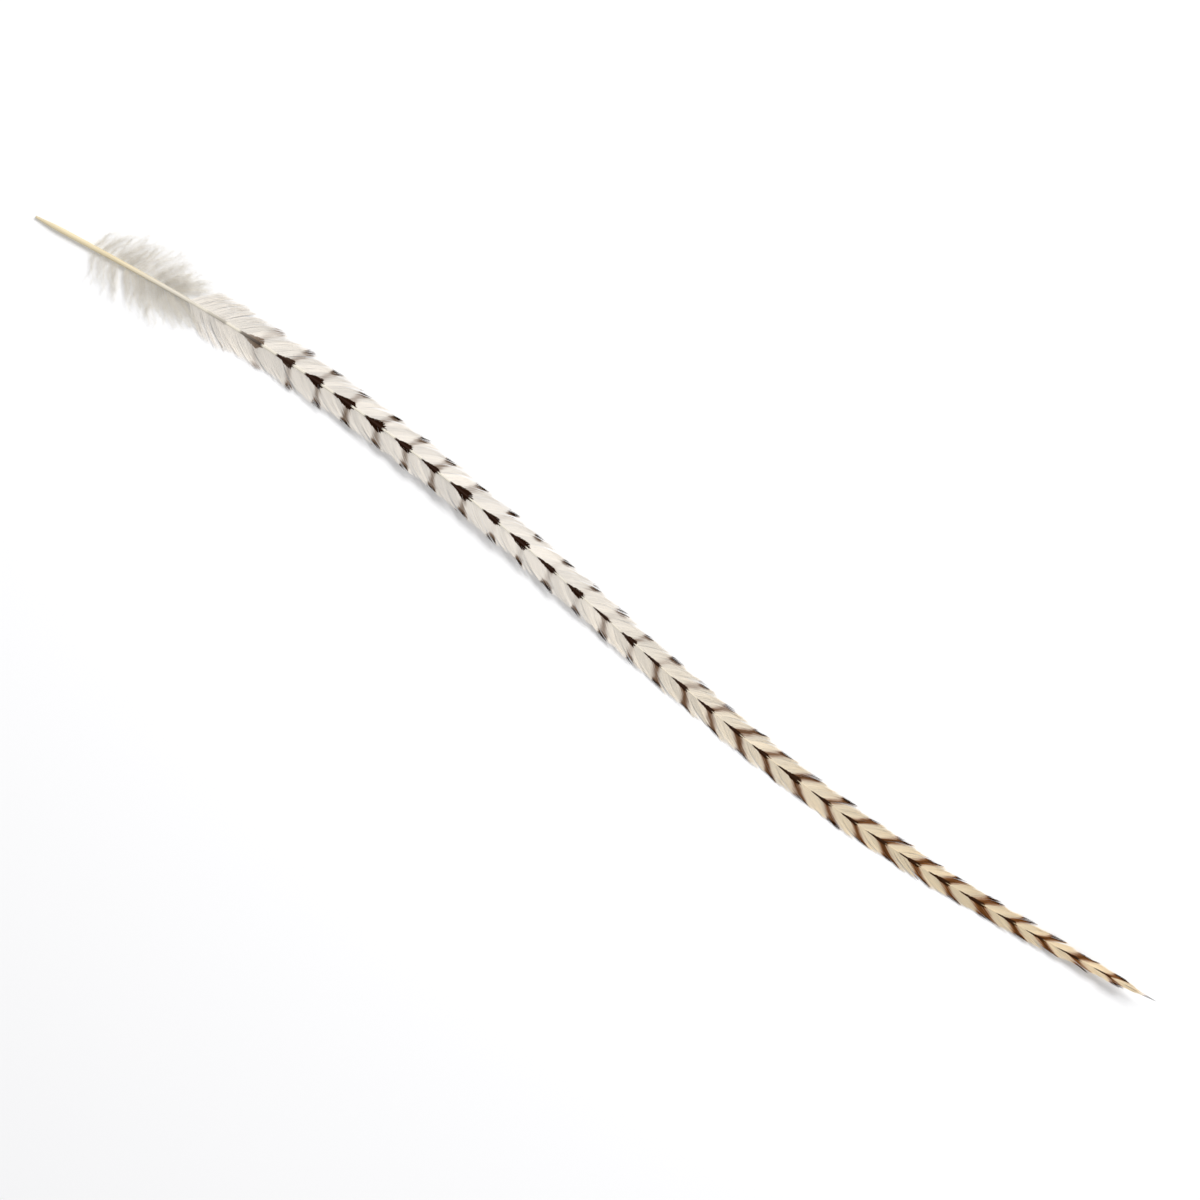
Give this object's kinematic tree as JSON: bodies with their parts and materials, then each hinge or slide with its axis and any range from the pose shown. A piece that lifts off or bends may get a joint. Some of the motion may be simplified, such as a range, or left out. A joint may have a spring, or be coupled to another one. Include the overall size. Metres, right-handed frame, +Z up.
{
  "type": "rooster feather",
  "caption": "Long narrow rooster saddle feather lying flat: a tapering quill in a gentle S, a barred vane of swept barbs on each side and soft down above the bare root.",
  "frame": {"origin": "centre of the feather's box, on the table that it lies on", "axes": "+X along the feather from the root to the tip, +Y to its left, +Z up from the table"},
  "size_m": [0.3, 0.0222, 0.0046],
  "materials": {
    "quill": "smooth ivory horn with a soft gloss",
    "vane": "fine cream barbs with dark brown chevron bars, warming to honey towards the tip",
    "down": "soft pale grey fluff"
  },
  "bodies": {
    "root": {"quill": "quill", "left_vane": "vane", "right_vane": "vane", "left_down": "down", "right_down": "down"}
  },
  "joints": []
}
